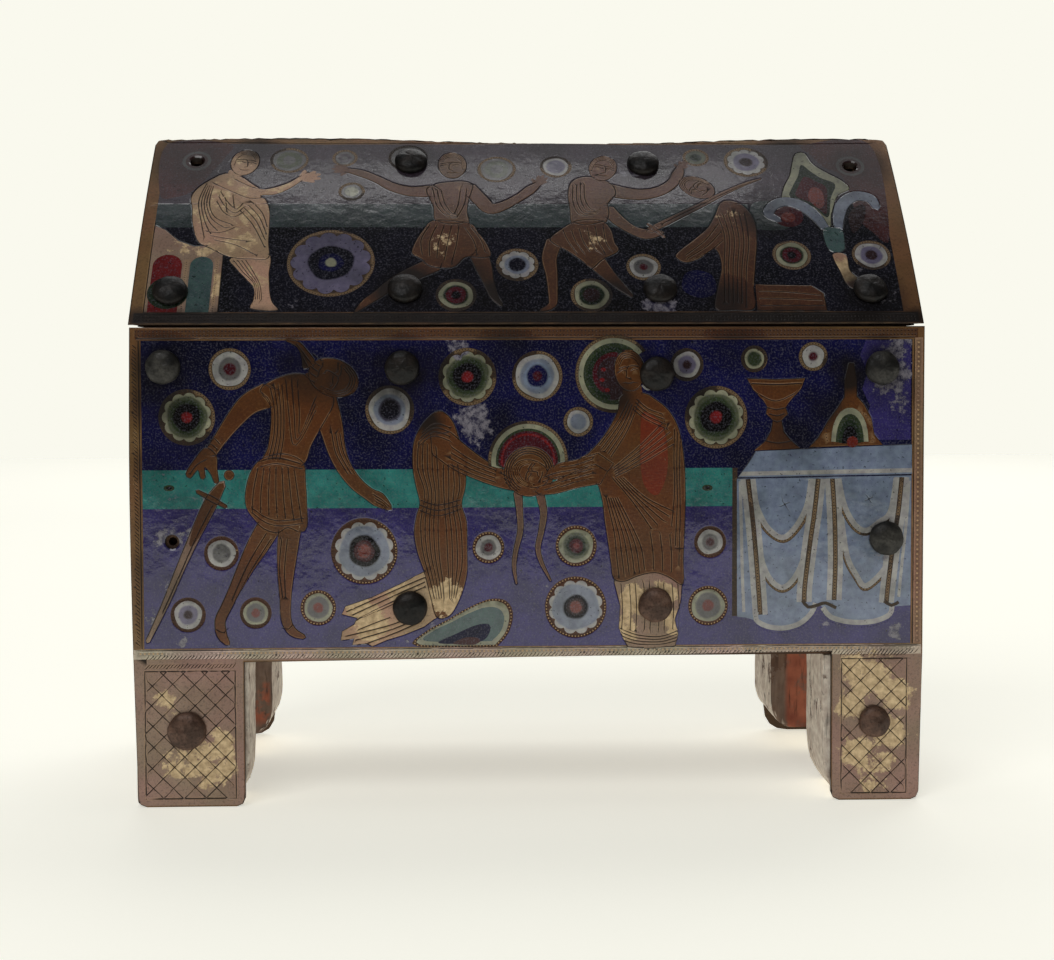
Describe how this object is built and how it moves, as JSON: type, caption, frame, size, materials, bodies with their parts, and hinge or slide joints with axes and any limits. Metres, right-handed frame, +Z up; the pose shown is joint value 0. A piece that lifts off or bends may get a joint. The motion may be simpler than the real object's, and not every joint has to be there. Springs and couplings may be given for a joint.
{
  "type": "reliquary casket",
  "caption": "House-shaped casket on four feet: a hollow wooden case and a lift-off gable roof, both covered with engraved and enamelled copper plates held by domed nails.",
  "frame": {"origin": "on the floor, under the middle of the casket", "axes": "+X along the casket to its right end, +Y from the front to the back, +Z up"},
  "size_m": [0.2784, 0.128, 0.2415],
  "materials": {
    "enamelled_copper": "champleve enamel in engraved, worn gilt copper",
    "gilt_copper": "engraved copper with worn gilding",
    "nail_metal": "dark patinated copper",
    "case_wood": "old bare oak",
    "post_wood": "worn wood with remains of pale ground and red paint"
  },
  "bodies": {
    "root": {"floor_board": "case_wood", "front_board": "case_wood", "back_board": "case_wood", "left_end_board": "case_wood", "right_end_board": "case_wood", "roof_front_board": "case_wood", "roof_back_board": "case_wood", "left_gable_board": "case_wood", "right_gable_board": "case_wood", "front_left_post": "post_wood", "front_right_post": "post_wood", "back_left_post": "post_wood", "back_right_post": "post_wood", "front_plate": "enamelled_copper", "back_plate": "enamelled_copper", "left_end_plate": "enamelled_copper", "right_end_plate": "enamelled_copper", "roof_front_plate": "enamelled_copper", "roof_back_plate": "enamelled_copper", "left_gable_plate": "gilt_copper", "right_gable_plate": "gilt_copper", "front_nail_1": "nail_metal", "front_nail_2": "nail_metal", "front_nail_3": "nail_metal", "front_nail_4": "nail_metal", "front_nail_5": "nail_metal", "front_nail_6": "nail_metal", "front_nail_7": "nail_metal", "front_foot_nail_1": "nail_metal", "front_foot_nail_2": "nail_metal", "back_nail_1": "nail_metal", "back_nail_2": "nail_metal", "back_nail_3": "nail_metal", "back_nail_4": "nail_metal", "back_nail_5": "nail_metal", "back_nail_6": "nail_metal", "back_foot_nail_1": "nail_metal", "back_foot_nail_2": "nail_metal", "roof_front_nail_1": "nail_metal", "roof_front_nail_2": "nail_metal", "roof_front_nail_3": "nail_metal", "roof_front_nail_4": "nail_metal", "roof_front_nail_5": "nail_metal", "roof_front_nail_6": "nail_metal", "roof_back_nail_1": "nail_metal", "roof_back_nail_2": "nail_metal", "roof_back_nail_3": "nail_metal", "roof_back_nail_4": "nail_metal", "left_end_pin_1": "nail_metal", "left_end_pin_2": "nail_metal", "left_end_pin_3": "nail_metal", "left_end_pin_4": "nail_metal", "right_end_pin_1": "nail_metal", "right_end_pin_2": "nail_metal", "right_end_pin_3": "nail_metal", "right_end_pin_4": "nail_metal", "left_gable_pin_1": "nail_metal", "right_gable_pin_1": "nail_metal"}
  },
  "joints": []
}
